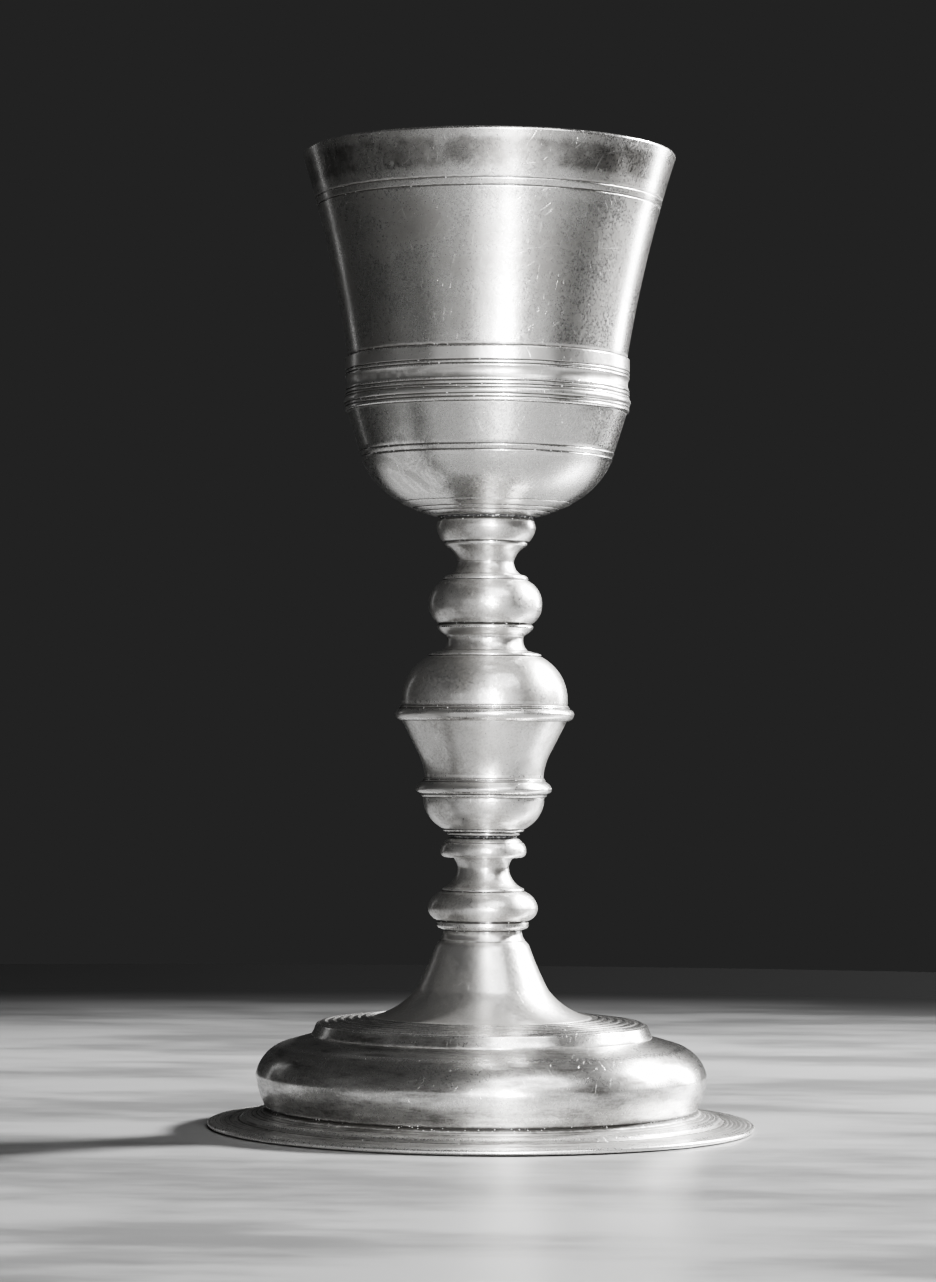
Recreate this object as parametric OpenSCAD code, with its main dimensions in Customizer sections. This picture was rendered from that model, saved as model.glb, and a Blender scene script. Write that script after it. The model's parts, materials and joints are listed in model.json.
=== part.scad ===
// Communion chalice: a raised cup and a raised hollow foot, drawn together through a stem
// of turned mouldings by one tie rod. Millimetres, +Z up, origin at the bottom centre of the foot.

/* [Cup] */
// Height of the bowl, from its flat bottom to the top of the lip
bowl_h = 89.9; // [85:0.1:94]
// Outer radius of the lip
lip_r = 48.1; // [46:0.1:51]
// Thickness of the bowl's sheet
cup_wall = 1.5; // [1.2:0.1:2]
// Radius of the flat bottom, where the bowl is soldered to its base plate
bowl_bottom_r = 22; // [20.5:0.1:23]
// Outer radius where the rounded bottom turns into the straight lower side
bowl_turn_r = 32.2; // [31.5:0.1:33]
// Height of that turn above the flat bottom
bowl_turn_h = 10.8; // [10.4:0.1:11.4]
// Outer radius of the straight lower side where it meets the band
waist_r = 36; // [35.6:0.1:36.4]
// Height of the band's lower edge above the flat bottom
band_base_h = 23.2; // [22.6:0.1:24]
// How far the flaring upper side bows in from a straight line
flare_bow = 1; // [0.6:0.05:1.8]

/* [Band around the cup] */
// Height of the band
band_h = 14; // [13:0.1:15]
// Outer radius of the band's plain face
band_r = 36.6; // [36.5:0.05:37]
// Outer radius of the sharper bead near its lower edge
band_bead_r = 36.95; // [36.9:0.05:37.3]
// Outer radius of the seat turned on the bowl, which the band is soldered to
band_seat_r = 35.5; // [35:0.1:35.6]

/* [Upper stem] */
// Height of the stepped plate under the bowl
base_plate_h = 3.6; // [3.4:0.1:4]
// Radius of the flat on the plate's underside
base_plate_flat_r = 12.6; // [12.4:0.1:13]
// Thickness of the packing between the cup and the stem
cup_packing_h = 0.5; // [0.3:0.1:0.8]
// Height of the collar that the cup sits on
top_collar_h = 7; // [6.6:0.1:7.6]
// Largest radius of that collar
top_collar_r = 12.8; // [12.6:0.1:13.4]
// Height of the spool below the collar
upper_spool_h = 8.8; // [8.4:0.1:9.4]
// Smallest radius of the spool
upper_spool_r = 7.2; // [6.8:0.1:7.8]
// Height of the upper bead
upper_bead_h = 11.3; // [10.8:0.1:12]
// Largest radius of the upper bead
upper_bead_r = 14.6; // [14:0.1:15.2]
// Height of the ring under the upper bead
upper_ring_h = 2.9; // [2.7:0.1:3.2]
// Largest radius of that ring
upper_ring_r = 12.4; // [12.2:0.1:12.8]

/* [Knop] */
// Height of the neck on top of the knop
knop_neck_h = 5.5; // [5.2:0.1:6]
// Smallest radius of that neck
knop_neck_r = 9.8; // [9.4:0.1:10]
// Height of the knop's dome
knop_dome_h = 12.5; // [11.5:0.1:13.5]
// Radius at the top of the dome
knop_dome_top_r = 14.6; // [14.2:0.1:15.2]
// Radius at the foot of the dome
knop_dome_r = 21.3; // [20.8:0.1:21.6]
// Height of the band round the knop's widest part
knop_band_h = 4; // [3.6:0.1:4.6]
// Largest radius of that band, which is the widest place on the stem
knop_band_r = 23.1; // [22.7:0.1:23.8]
// Height of the cone below the band
knop_cone_h = 14.7; // [14:0.1:15.6]
// Radius at the foot of the cone
knop_cone_r = 15.3; // [15:0.1:15.6]
// Height of the band between the cone and the knop's bowl
lower_band_h = 4.9; // [4.6:0.1:5.3]
// Largest radius of that band
lower_band_r = 17.5; // [17.2:0.1:18]
// Height of the bowl at the bottom of the knop
knop_bowl_h = 8.1; // [7.6:0.1:8.8]
// Radius of that bowl at its top
knop_bowl_r = 15.6; // [15.3:0.1:15.9]
// Height of the stepped ring that the knop stands on
knop_ring_h = 1.7; // [1.5:0.1:2]
// Thickness of the knop's walls
knop_wall = 2; // [1.6:0.1:2.2]

/* [Lower stem] */
// Thickness of the packing between the knop and the lower stem
stem_packing_h = 0.6; // [0.4:0.1:0.8]
// Height of the collar below the knop
lower_collar_h = 5; // [4.6:0.1:5.4]
// Largest radius of that collar
lower_collar_r = 11.05; // [10.7:0.05:11.6]
// Height of the lower spool
lower_spool_h = 8.7; // [8.2:0.1:9.2]
// Smallest radius of the lower spool, the thinnest place on the stem
lower_spool_r = 6.6; // [6.3:0.1:7]
// Height of the lower bead
lower_bead_h = 7.4; // [7:0.1:8]
// Largest radius of the lower bead
lower_bead_r = 14.15; // [13.7:0.05:14.8]
// Height of the ring between the lower bead and the foot
foot_collar_h = 2.5; // [2.3:0.1:2.8]
// Largest radius of that ring
foot_collar_r = 11.8; // [11.5:0.1:12.1]

/* [Foot] */
// Thickness of the foot's sheet
foot_wall = 1.6; // [1.4:0.1:1.9]
// Height of the trumpet that carries the stem
trumpet_h = 22.3; // [21.6:0.1:23]
// Radius at the top of the trumpet
trumpet_top_r = 10; // [9.7:0.1:10.2]
// Radius where the trumpet spreads into the ridged step
trumpet_base_r = 28.2; // [27.6:0.1:29]
// Height of the ridged step
step_h = 4.8; // [4.5:0.1:5.2]
// Radius at the foot of the step
step_r = 43.7; // [43:0.1:44.4]
// How many ridges run round the top of the step
step_ridges = 6; // [3:1:7]
// Height of the drum
drum_h = 18.4; // [17.6:0.1:19.2]
// Largest radius of the drum
drum_r = 57.9; // [57.2:0.1:58.6]
// Radius of the drum where it meets the brim
drum_base_r = 55.2; // [54.6:0.1:55.8]
// Height of the brim, up to the drum
brim_h = 4.9; // [4.6:0.1:5.2]
// Radius of the brim, the widest place on the chalice
brim_r = 70; // [68.5:0.1:72]
// Thickness of the brim's edge
brim_edge = 1.3; // [1.1:0.1:1.5]
// Width of the flat ring under the brim, which the chalice stands on
rest_w = 7.4; // [6:0.1:8]

/* [Tie rod and its fittings] */
// Radius of the tie rod, which has an M6 thread at both ends
rod_r = 3; // [2.9:0.05:3]
// Radius of the clearance hole for the rod
rod_hole_r = 3.2; // [3.1:0.05:3.4]
// Radius of the threaded boss under the cup
boss_r = 7; // [6.5:0.1:7.3]
// Height of the boss
boss_h = 6; // [5.5:0.1:6.4]
// Height of the washer's seat above the foot of the trumpet
seat_h = 7.9; // [7.5:0.1:8.4]
// Radius of the washer inside the foot
washer_r = 12.2; // [11:0.1:12.4]
// Thickness of that washer
washer_h = 2; // [1.5:0.1:2.4]
// Width of the hexagon nut across its corners
nut_corner_w = 11.5; // [11:0.1:12]
// Height of the nut
nut_h = 5; // [4.5:0.1:5.5]
// How far the rod stands out below the nut
rod_tail = 1.5; // [1:0.1:1.8]

/* [Hidden] */

$fn = 96;
arc_steps = 10;
fit_gap = 0.05;       // between round faces that only slide or are soldered
groove_w = 0.5;       // width of a turned line
groove_deep = 0.22;
fine_w = 0.4;         // the lines under the lip are finer
fine_deep = 0.05;
lip_lines = [14.2, 12.3];   // how far below the lip they run

// Heights of the joints between the pieces, from the ground up
z_drum = brim_h;
z_step = z_drum + drum_h;
z_trumpet = z_step + step_h;
z_foot_collar = z_trumpet + trumpet_h;
z_lower_bead = z_foot_collar + foot_collar_h;
z_lower_spool = z_lower_bead + lower_bead_h;
z_lower_collar = z_lower_spool + lower_spool_h;
z_stem_packing = z_lower_collar + lower_collar_h;
z_knop_ring = z_stem_packing + stem_packing_h;
z_knop_bowl = z_knop_ring + knop_ring_h;
z_lower_band = z_knop_bowl + knop_bowl_h;
z_cone = z_lower_band + lower_band_h;
z_knop_band = z_cone + knop_cone_h;
z_dome = z_knop_band + knop_band_h;
z_knop_neck = z_dome + knop_dome_h;
z_upper_ring = z_knop_neck + knop_neck_h;
z_upper_bead = z_upper_ring + upper_ring_h;
z_upper_spool = z_upper_bead + upper_bead_h;
z_top_collar = z_upper_spool + upper_spool_h;
z_cup_packing = z_top_collar + top_collar_h;
z_base_plate = z_cup_packing + cup_packing_h;
z_bowl = z_base_plate + base_plate_h;
z_lip = z_bowl + bowl_h;
z_band = z_bowl + band_base_h;
z_seat = z_trumpet + seat_h;
z_nut = z_seat - washer_h - nut_h;

// Radii where two mouldings share an edge
lower_bead_foot_r = 11.6;
lower_bead_top_r = 10.7;
lower_collar_foot_r = 7.8;
lower_collar_top_r = 8.6;
knop_bowl_foot_r = 10.5;
knop_band_foot_r = 21.2;
upper_ring_foot_r = 10.2;
upper_bead_foot_r = 12;
upper_bead_top_r = 10.9;
upper_spool_top_r = 10.4;
top_collar_top_r = 12.1;

// Points from p to q along an arc that bows out by bow, to the right of the way it is drawn
function arc(p, q, bow, steps = arc_steps) =
    let (
        d = q - p,
        len = norm(d),
        right = [d[1], -d[0]] / len,
        half = 2 * atan(2 * bow / len),
        radius = (len * len / 4 + bow * bow) / (2 * bow),
        centre = (p + q) / 2 + right * (bow - radius)
    )
    [for (i = [0:steps])
        let (a = half * (2 * i / steps - 1))
        centre + radius * (cos(a) * right + sin(a) * d / len)];

// A turned V groove across a face of radius r at height z
function groove(r, z, w = groove_w, deep = groove_deep) = [[r, z - w / 2], [r - deep, z], [r, z + w / 2]];

// An outline that rises all the way, with fine grooves cut across it at the given heights
function lined(outline, heights) =
    let (
        radii = [for (p = outline) [p[1], p[0]]],
        edges = concat([outline[0][1] - fine_w], heights, [outline[len(outline) - 1][1] + fine_w])
    )
    [for (i = [0:len(heights)]) each concat(
        [for (p = outline) if (p[1] > edges[i] + fine_w / 2 && p[1] < edges[i + 1] - fine_w / 2) p],
        i < len(heights) ? groove(lookup(heights[i], radii), heights[i], fine_w, fine_deep) : []
    )];

// Two fine turned steps that climb to the point top, for the upper edge of a band
function fillets(top) = [
    top + [0.5, -0.85], top + [0.65, -0.55], top + [0.3, -0.45], top + [0.35, -0.15], top
];

// A straight run from p to q with rounded ridges standing on it
function ridged(p, q, count, tall, steps = 6) =
    [for (i = [0:count * steps])
        let (t = i / (count * steps))
        p + (q - p) * t + [0, tall * abs(sin(180 * count * t))]];

module turned(outline) {
    rotate_extrude() polygon(outline);
}

// A stem piece: its outside from bottom to top, with a plain hole for the rod
module bored(outside) {
    top = outside[len(outside) - 1][1];
    turned(concat(outside, [[rod_hole_r, top], [rod_hole_r, outside[0][1]]]));
}

// Cup

// Outside of the bowl from its flat bottom up to the lip, moved in by the given thickness
function bowl_side(inset) =
    let (
        plain = inset > 0,
        turn = [bowl_turn_r - inset * 0.95, z_bowl + bowl_turn_h + inset * 0.3],
        waist = [waist_r - inset, z_band],
        lean = (waist[0] - turn[0]) / (waist[1] - turn[1]),
        line_heights = [0.7, 2.1],
        seat_r = plain ? waist[0] : band_seat_r,
        flare = arc([waist[0], z_band + band_h], [lip_r - inset, z_lip - cup_wall / 2], -flare_bow, 16)
    )
    concat(
        arc([bowl_bottom_r - inset * 0.4, z_bowl + inset], turn, 1.3),
        plain ? [] : [for (h = line_heights) each groove(turn[0] + h * lean, turn[1] + h)],
        [waist, [seat_r, z_band], [seat_r, z_band + band_h]],
        plain ? flare : lined(flare, [for (drop = lip_lines) z_lip - drop])
    );

module cup_bowl() {
    inner = bowl_side(cup_wall);
    outline = concat(
        [[0, z_bowl]],
        bowl_side(0),
        arc([lip_r, z_lip - cup_wall / 2], [lip_r - cup_wall, z_lip - cup_wall / 2], cup_wall / 2),
        [for (i = [len(inner) - 1:-1:0]) inner[i]],
        [[0, z_bowl + cup_wall]]
    );
    color("gainsboro") turned(outline);
}

// Mouldings of the band, from its lower edge up: line, bead, two lines, hollow, two lines, plain face
module cup_band() {
    bevel = 0.3;
    lowest_line = z_band + 1.1;
    bead = [z_band + 1.9, z_band + 3.5];
    middle_lines = [z_band + 4.2, z_band + 5.2];
    hollow = [z_band + 5.8, z_band + 8.8];
    hollow_deep = 0.45;
    upper_lines = [z_band + 9.4, z_band + 10.3];
    low_z = z_band + fit_gap;
    high_z = z_band + band_h - fit_gap;
    inner_r = band_seat_r + fit_gap;
    color("lightgrey") turned(concat(
        [[inner_r, low_z], [band_r - bevel, low_z], [band_r, low_z + bevel]],
        groove(band_r, lowest_line),
        arc([band_r, bead[0]], [band_r, bead[1]], band_bead_r - band_r, 6),
        [for (line_z = middle_lines) each groove(band_r, line_z)],
        arc([band_r, hollow[0]], [band_r, hollow[1]], -hollow_deep, 6),
        [for (line_z = upper_lines) each groove(band_r, line_z)],
        [[band_r, high_z - bevel], [band_r - bevel, high_z], [inner_r, high_z]]
    ));
}

// A shallow dish under the bowl, with two small turned steps
module cup_base_plate() {
    bow = 0.1;
    step = [0.1, 0.25];
    flat_edge = [base_plate_flat_r + 0.7, z_base_plate + 0.2];
    lower_line = [bowl_bottom_r - 5.6, z_base_plate + 1];
    upper_line = [bowl_bottom_r - 3.4, z_base_plate + 1.9];
    rim = [bowl_bottom_r - 0.15, z_bowl - 0.25];
    color("silver") turned(concat(
        [[0, z_base_plate], [base_plate_flat_r, z_base_plate]],
        arc(flat_edge, lower_line, bow, 4),
        arc(lower_line + step, upper_line, bow / 2, 4),
        arc(upper_line + step, rim, bow, 4),
        [[bowl_bottom_r, z_bowl], [0, z_bowl]]
    ));
}

// A threaded socket for the rod, brazed under the base plate
module cup_boss() {
    roof = 1;
    color("dimgrey") difference() {
        translate([0, 0, z_base_plate - boss_h]) cylinder(h = boss_h, r = boss_r);
        translate([0, 0, z_base_plate - boss_h - 1]) cylinder(h = boss_h + 1 - roof, r = rod_r + fit_gap);
    }
}

module cup_packing() {
    inner_r = boss_r + fit_gap;
    color("dimgrey") turned([
        [inner_r, z_cup_packing], [top_collar_top_r + 0.1, z_cup_packing],
        [base_plate_flat_r - 0.2, z_base_plate], [inner_r, z_base_plate]
    ]);
}

// Upper stem

// A barrel over a narrow fillet, with a socket on top for the boss
module top_collar() {
    widest = z_top_collar + 4.7;
    fillet_r = upper_spool_top_r + 0.2;
    fillet_h = 1;
    socket_r = boss_r + fit_gap;
    socket_z = z_base_plate - boss_h - 0.3;
    color("silver") turned(concat(
        [[upper_spool_top_r, z_top_collar], [fillet_r, z_top_collar + 0.3]],
        [[fillet_r, z_top_collar + fillet_h]],
        arc([fillet_r + 0.6, z_top_collar + fillet_h + 0.2], [top_collar_r, widest], 0.3, 6),
        arc([top_collar_r, widest], [top_collar_top_r, z_cup_packing], 0.15, 5),
        [[socket_r, z_cup_packing], [socket_r, socket_z], [rod_hole_r, socket_z], [rod_hole_r, z_top_collar]]
    ));
}

// A neck that sweeps down to a small base moulding
module upper_spool() {
    thinnest = [upper_spool_r, z_upper_spool + 4.7];
    base_h = 0.6;
    base_bevel = 0.5;
    sweep_foot = [9, z_upper_spool + 1.5];
    color("gainsboro") bored(concat(
        [[upper_bead_top_r, z_upper_spool], [upper_bead_top_r, z_upper_spool + base_h]],
        [[upper_bead_top_r - base_bevel, z_upper_spool + base_h + base_bevel]],
        arc(sweep_foot, thinnest, -0.42, 6),
        arc(thinnest, [upper_spool_top_r, z_top_collar], -0.6)
    ));
}

module upper_bead() {
    widest = [upper_bead_r, z_upper_bead + 4.9];
    color("silver") bored(concat(
        arc([upper_bead_foot_r, z_upper_bead], widest, 0.7),
        arc(widest, [upper_bead_top_r - 0.2, z_upper_spool], 1.15)
    ));
}

// A sharp flange that slants in below
module upper_ring() {
    widest = z_upper_ring + 1.8;
    bevel = 0.2;
    color("lightgrey") bored(concat(
        arc([upper_ring_foot_r, z_upper_ring], [upper_ring_r - bevel, widest - bevel], 0.15, 5),
        [[upper_ring_r, widest], [upper_ring_r, widest + 0.4]],
        [[upper_bead_foot_r, z_upper_bead - bevel], [upper_bead_foot_r - bevel, z_upper_bead]]
    ));
}

// Knop

// A neck over a thin disc that covers the dome's crown
module knop_neck() {
    disc_r = knop_dome_top_r - 0.1;
    disc_h = 0.6;
    disc_bevel = [-1.1, 0.4];
    sweep_foot = [11.1, z_knop_neck + 1.5];
    thinnest = [knop_neck_r, z_knop_neck + 4.4];
    color("gainsboro") bored(concat(
        [[disc_r - 0.3, z_knop_neck], [disc_r, z_knop_neck + 0.2], [disc_r, z_knop_neck + disc_h]],
        [[disc_r, z_knop_neck + disc_h] + disc_bevel],
        arc(sweep_foot, thinnest, -0.35, 6),
        arc(thinnest, [upper_ring_foot_r, z_upper_ring], -0.15, 4)
    ));
}

module knop_dome() {
    crown = z_knop_neck - knop_wall;
    color("silver") turned(concat(
        arc([knop_dome_r, z_dome], [knop_dome_top_r, z_knop_neck], 2.2, 14),
        [[rod_hole_r, z_knop_neck], [rod_hole_r, crown]],
        arc([knop_dome_top_r - knop_wall, crown], [knop_dome_r - knop_wall, z_dome], -1.7)
    ));
}

module knop_band() {
    inner_r = knop_band_foot_r - knop_wall;
    widest = z_knop_band + 1.8;
    color("gainsboro") turned(concat(
        [[inner_r, z_knop_band], [knop_band_foot_r, z_knop_band]],
        arc([knop_band_r - 1.1, z_knop_band + 0.2], [knop_band_r, widest], 0.25, 6),
        arc([knop_band_r, widest], [knop_band_r - 1.1, z_dome - 1], 0.25, 6),
        fillets([knop_dome_r, z_dome]),
        [[inner_r, z_dome]]
    ));
}

module knop_cone() {
    bend = [knop_cone_r + 1.55, z_cone + 6.1];
    color("silver") turned(concat(
        arc([knop_cone_r, z_cone], bend, -0.35, 6),
        [[knop_band_foot_r, z_knop_band], [knop_band_foot_r - knop_wall, z_knop_band]],
        [[bend[0] - knop_wall, bend[1]], [knop_cone_r - knop_wall, z_cone]]
    ));
}

module knop_lower_band() {
    widest = z_lower_band + 2.3;
    inner_r = knop_cone_r - knop_wall;
    color("gainsboro") turned(concat(
        [[inner_r, z_lower_band], [knop_bowl_r, z_lower_band], [knop_bowl_r + 0.6, z_lower_band + 0.3]],
        [[knop_bowl_r + 0.7, z_lower_band + 0.9]],
        arc([lower_band_r - 0.5, z_lower_band + 1.2], [lower_band_r, widest], 0.15, 5),
        arc([lower_band_r, widest], [knop_cone_r + 0.9, z_cone - 1], 0.15, 5),
        fillets([knop_cone_r, z_cone]),
        [[inner_r, z_cone]]
    ));
}

module knop_bowl() {
    floor_z = z_knop_bowl + knop_wall;
    color("silver") turned(concat(
        arc([knop_bowl_foot_r, z_knop_bowl], [knop_bowl_r, z_lower_band], 1.4),
        arc([knop_cone_r - knop_wall, z_lower_band], [knop_bowl_foot_r - 0.8, floor_z], -0.9, 6),
        [[rod_hole_r, floor_z], [rod_hole_r, z_knop_bowl]]
    ));
}

// A thin flange over a narrower ring
module knop_ring() {
    flange_z = z_knop_bowl - 0.65;
    narrow_r = lower_collar_top_r + 0.7;
    color("lightgrey") bored([
        [lower_collar_top_r, z_knop_ring],
        [narrow_r, z_knop_ring + 0.2],
        [narrow_r, flange_z - 0.3],
        [narrow_r - 0.3, flange_z - 0.1],
        [knop_bowl_foot_r - 0.3, flange_z],
        [knop_bowl_foot_r, flange_z + 0.25],
        [knop_bowl_foot_r - 0.1, z_knop_bowl]
    ]);
}

module stem_packing() {
    color("dimgrey") bored([
        [lower_collar_top_r - 0.2, z_stem_packing],
        [lower_collar_top_r + 0.3, z_stem_packing + stem_packing_h / 2],
        [lower_collar_top_r - 0.1, z_knop_ring]
    ]);
}

// Lower stem

// A bead with a fine step turned near its top
module lower_collar() {
    widest = z_lower_collar + 1.7;
    step_z = z_stem_packing - 1.3;
    step_r = lower_collar_r - 0.75;
    color("silver") bored(concat(
        [[lower_collar_foot_r, z_lower_collar]],
        arc([lower_collar_r - 1.1, z_lower_collar], [lower_collar_r, widest], 0.4, 6),
        arc([lower_collar_r, widest], [step_r, step_z], 0.2, 5),
        arc([step_r - 0.25, step_z + 0.1], [lower_collar_top_r, z_stem_packing], 0.15, 4)
    ));
}

// A neck that sweeps down to a small rounded base
module lower_spool() {
    thinnest = [lower_spool_r, z_lower_spool + 6.1];
    base_r = lower_bead_top_r - 0.1;
    sweep_foot = [base_r - 0.6, z_lower_spool + 1];
    color("gainsboro") bored(concat(
        [[base_r - 0.2, z_lower_spool], [base_r, z_lower_spool + 0.3], [base_r - 0.1, z_lower_spool + 0.7]],
        arc(sweep_foot, thinnest, -0.85),
        arc(thinnest, [lower_collar_foot_r, z_lower_collar], -0.2, 5)
    ));
}

module lower_bead() {
    widest = [lower_bead_r, z_lower_bead + 3.2];
    color("silver") bored(concat(
        arc([lower_bead_foot_r + 0.3, z_lower_bead], widest, 0.6),
        arc(widest, [lower_bead_top_r, z_lower_spool], 0.75)
    ));
}

// Foot

// A flat-edged ring that slants in below, down to the trumpet
module foot_collar() {
    edge_low = z_foot_collar + 1;
    edge_high = z_foot_collar + 1.9;
    bevel = 0.3;
    color("lightgrey") bored([
        [trumpet_top_r, z_foot_collar],
        [foot_collar_r - bevel, edge_low - 0.4],
        [foot_collar_r, edge_low],
        [foot_collar_r, edge_high],
        [lower_bead_foot_r, z_lower_bead - bevel],
        [lower_bead_foot_r, z_lower_bead]
    ]);
}

// The upper part is thick, and its flat underside is the seat for the washer
module foot_trumpet() {
    sweep_top = [16.9, z_trumpet + 7.2];
    shoulder = [12.3, z_trumpet + 17.5];
    throat = [10.9, z_trumpet + 19.6];
    seat_r = washer_r + 0.6;
    color("silver") turned(concat(
        arc([trumpet_base_r, z_trumpet], sweep_top, -1.25),
        arc(sweep_top, shoulder, -0.2, 6),
        arc(shoulder, throat, 0.2, 4),
        arc(throat, [trumpet_top_r, z_foot_collar], -0.2, 4),
        [[rod_hole_r, z_foot_collar], [rod_hole_r, z_seat]],
        arc([seat_r, z_seat], [trumpet_base_r, z_trumpet - foot_wall], 1.3)
    ));
}

// A ring with ridges on top, butted to the trumpet inside and to the drum outside
module foot_step() {
    outer_r = step_r - fit_gap;
    inner_r = trumpet_base_r + fit_gap;
    edge = [step_r - 1.3, z_step + 3];
    first_ridge = edge + [-0.7, 0.2];
    last_ridge = [inner_r + 0.9, z_trumpet - 0.1];
    ridge_tall = 0.36;
    color("gainsboro") turned(concat(
        [[outer_r, z_step - foot_wall], [outer_r, z_step], edge],
        ridged(first_ridge, last_ridge, step_ridges, ridge_tall),
        [[inner_r, z_trumpet], [inner_r, z_trumpet - foot_wall]],
        [first_ridge - [1, foot_wall], [outer_r - foot_wall, z_step - foot_wall]]
    ));
}

// Outside of the drum from the brim to the step, moved in by the given thickness
function drum_side(inset) =
    let (
        widest = [drum_r - inset, z_drum + 8.5],
        shoulder = [drum_r - 7.5 - inset * 0.4, z_drum + 16.5 - inset * 0.9]
    )
    concat(
        arc([drum_base_r - inset, z_drum], widest, 0.45, 6),
        arc(widest, shoulder, 1.6),
        [[step_r, z_step - inset]]
    );

module foot_drum() {
    inner = drum_side(foot_wall);
    color("silver") turned(concat(
        drum_side(0),
        [for (i = [len(inner) - 1:-1:0]) inner[i]]
    ));
}

// A thin plate with a low step on top, which turns up to the drum
module foot_brim() {
    edge_r = brim_r - brim_edge / 2;
    step_foot = [62.2, 2.05];
    step_top = step_foot + [-1.3, 0.95];
    sweep_foot = step_foot + [-3.8, 1.35];
    plate_z = 0.9;   // underside of the brim inside its rest
    inner_r = drum_base_r - foot_wall;
    color("silver") turned(concat(
        [[edge_r - rest_w, 0]],
        arc([edge_r, 0], [edge_r, brim_edge], brim_edge / 2, 8),
        [step_foot, step_foot + [-0.5, 0.25], step_top, sweep_foot + [0.3, -0.05]],
        arc(sweep_foot, [drum_base_r, brim_h], -0.3, 5),
        [[inner_r, brim_h], [inner_r, brim_h - 1.4]],
        [[step_foot[0] - 1.6, plate_z + 0.5], [step_foot[0] - 0.8, plate_z], [edge_r - rest_w - 0.2, plate_z]]
    ));
}

// Tie rod and its fittings

module tie_rod() {
    bottom = z_nut - rod_tail;
    top = z_base_plate - 1.4;
    bevel = 0.6;
    color("darkgrey") turned([
        [0, bottom], [rod_r - bevel, bottom], [rod_r, bottom + bevel],
        [rod_r, top - bevel], [rod_r - bevel, top], [0, top]
    ]);
}

module foot_washer() {
    color("darkgrey") bored([
        [washer_r - 0.4, z_seat - washer_h],
        [washer_r, z_seat - washer_h + 0.4],
        [washer_r, z_seat]
    ]);
}

module foot_nut() {
    color("darkgrey") translate([0, 0, z_nut]) difference() {
        cylinder(h = nut_h, d = nut_corner_w, $fn = 6);
        translate([0, 0, -1]) cylinder(h = nut_h + 2, r = rod_r + fit_gap);
    }
}

cup_bowl();
cup_band();
cup_base_plate();
cup_boss();
cup_packing();
top_collar();
upper_spool();
upper_bead();
upper_ring();
knop_neck();
knop_dome();
knop_band();
knop_cone();
knop_lower_band();
knop_bowl();
knop_ring();
stem_packing();
lower_collar();
lower_spool();
lower_bead();
foot_collar();
foot_trumpet();
foot_step();
foot_drum();
foot_brim();
tie_rod();
foot_washer();
foot_nut();
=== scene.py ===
"""Looks of the communion chalice. Every CAD piece but the nut is turned again from its own outline,
finer and with worn edges, and the metals are procedural. Metres, +Z up."""
import json
import math

import bpy
import numpy as np
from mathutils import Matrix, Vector


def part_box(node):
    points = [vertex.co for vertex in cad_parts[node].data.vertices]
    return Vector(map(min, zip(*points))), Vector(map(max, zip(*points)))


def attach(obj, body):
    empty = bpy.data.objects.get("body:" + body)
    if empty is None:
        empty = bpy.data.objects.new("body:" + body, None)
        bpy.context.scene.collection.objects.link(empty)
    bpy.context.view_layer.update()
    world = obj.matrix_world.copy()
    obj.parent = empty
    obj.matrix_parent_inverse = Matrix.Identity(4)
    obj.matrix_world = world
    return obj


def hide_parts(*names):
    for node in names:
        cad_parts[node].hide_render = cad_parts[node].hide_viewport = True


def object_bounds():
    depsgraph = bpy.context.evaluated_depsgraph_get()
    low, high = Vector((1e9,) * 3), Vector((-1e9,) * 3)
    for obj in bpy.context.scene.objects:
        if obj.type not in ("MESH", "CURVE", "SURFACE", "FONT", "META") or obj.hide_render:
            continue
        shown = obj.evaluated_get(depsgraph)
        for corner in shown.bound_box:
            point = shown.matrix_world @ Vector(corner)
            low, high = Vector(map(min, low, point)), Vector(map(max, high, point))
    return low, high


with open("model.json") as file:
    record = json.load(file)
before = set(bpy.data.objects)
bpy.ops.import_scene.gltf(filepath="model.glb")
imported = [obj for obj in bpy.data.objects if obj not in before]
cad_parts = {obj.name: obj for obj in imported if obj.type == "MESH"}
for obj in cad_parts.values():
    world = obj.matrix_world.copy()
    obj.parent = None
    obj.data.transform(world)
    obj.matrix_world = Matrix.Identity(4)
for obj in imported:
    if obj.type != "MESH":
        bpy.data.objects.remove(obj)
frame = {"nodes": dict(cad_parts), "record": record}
cad_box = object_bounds()

MM = 0.001

# Where the camera stands, measured from the chalice's axis and from the floor
CAMERA_AWAY = 0.977
CAMERA_UP = 0.099
CAMERA_AIM = Vector((-0.0044, 0, 0.1245))
CAMERA_ROLL = math.radians(0.5)
CAMERA_LENS = 106.7
SENSOR = 36

# How finely the pieces are turned: facets round the axis, and the step along the outline
STEM_FACETS = 240
FACETS = {"cup_bowl": 384, "cup_band": 384, "cup_base_plate": 384, "foot_brim": 384, "foot_drum": 384,
          "foot_step": 384, "foot_trumpet": 384, "tie_rod": 48}
STEM_STEP = 0.5 * MM
STEPS = {"cup_bowl": 1.1 * MM, "cup_band": 0.6 * MM, "foot_brim": 0.25 * MM, "foot_step": 0.4 * MM,
         "foot_drum": 0.8 * MM, "foot_trumpet": 0.8 * MM, "tie_rod": 0.125 * MM}
CORNER_DEGREES = 26
STRAIGHT_RATIO = 2.6      # a run this much longer than its neighbour is a straight one
WORN_RADIUS = 0.16 * MM   # how far a corner is rounded back
SUPPORT = 0.09 * MM       # distance of the extra ring that keeps a rounded corner crisp

SLOTS = {part["node"]: part["material_slot"] for part in frame["record"]["subparts"]}


# Outlines: read from the CAD, made finer

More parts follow.
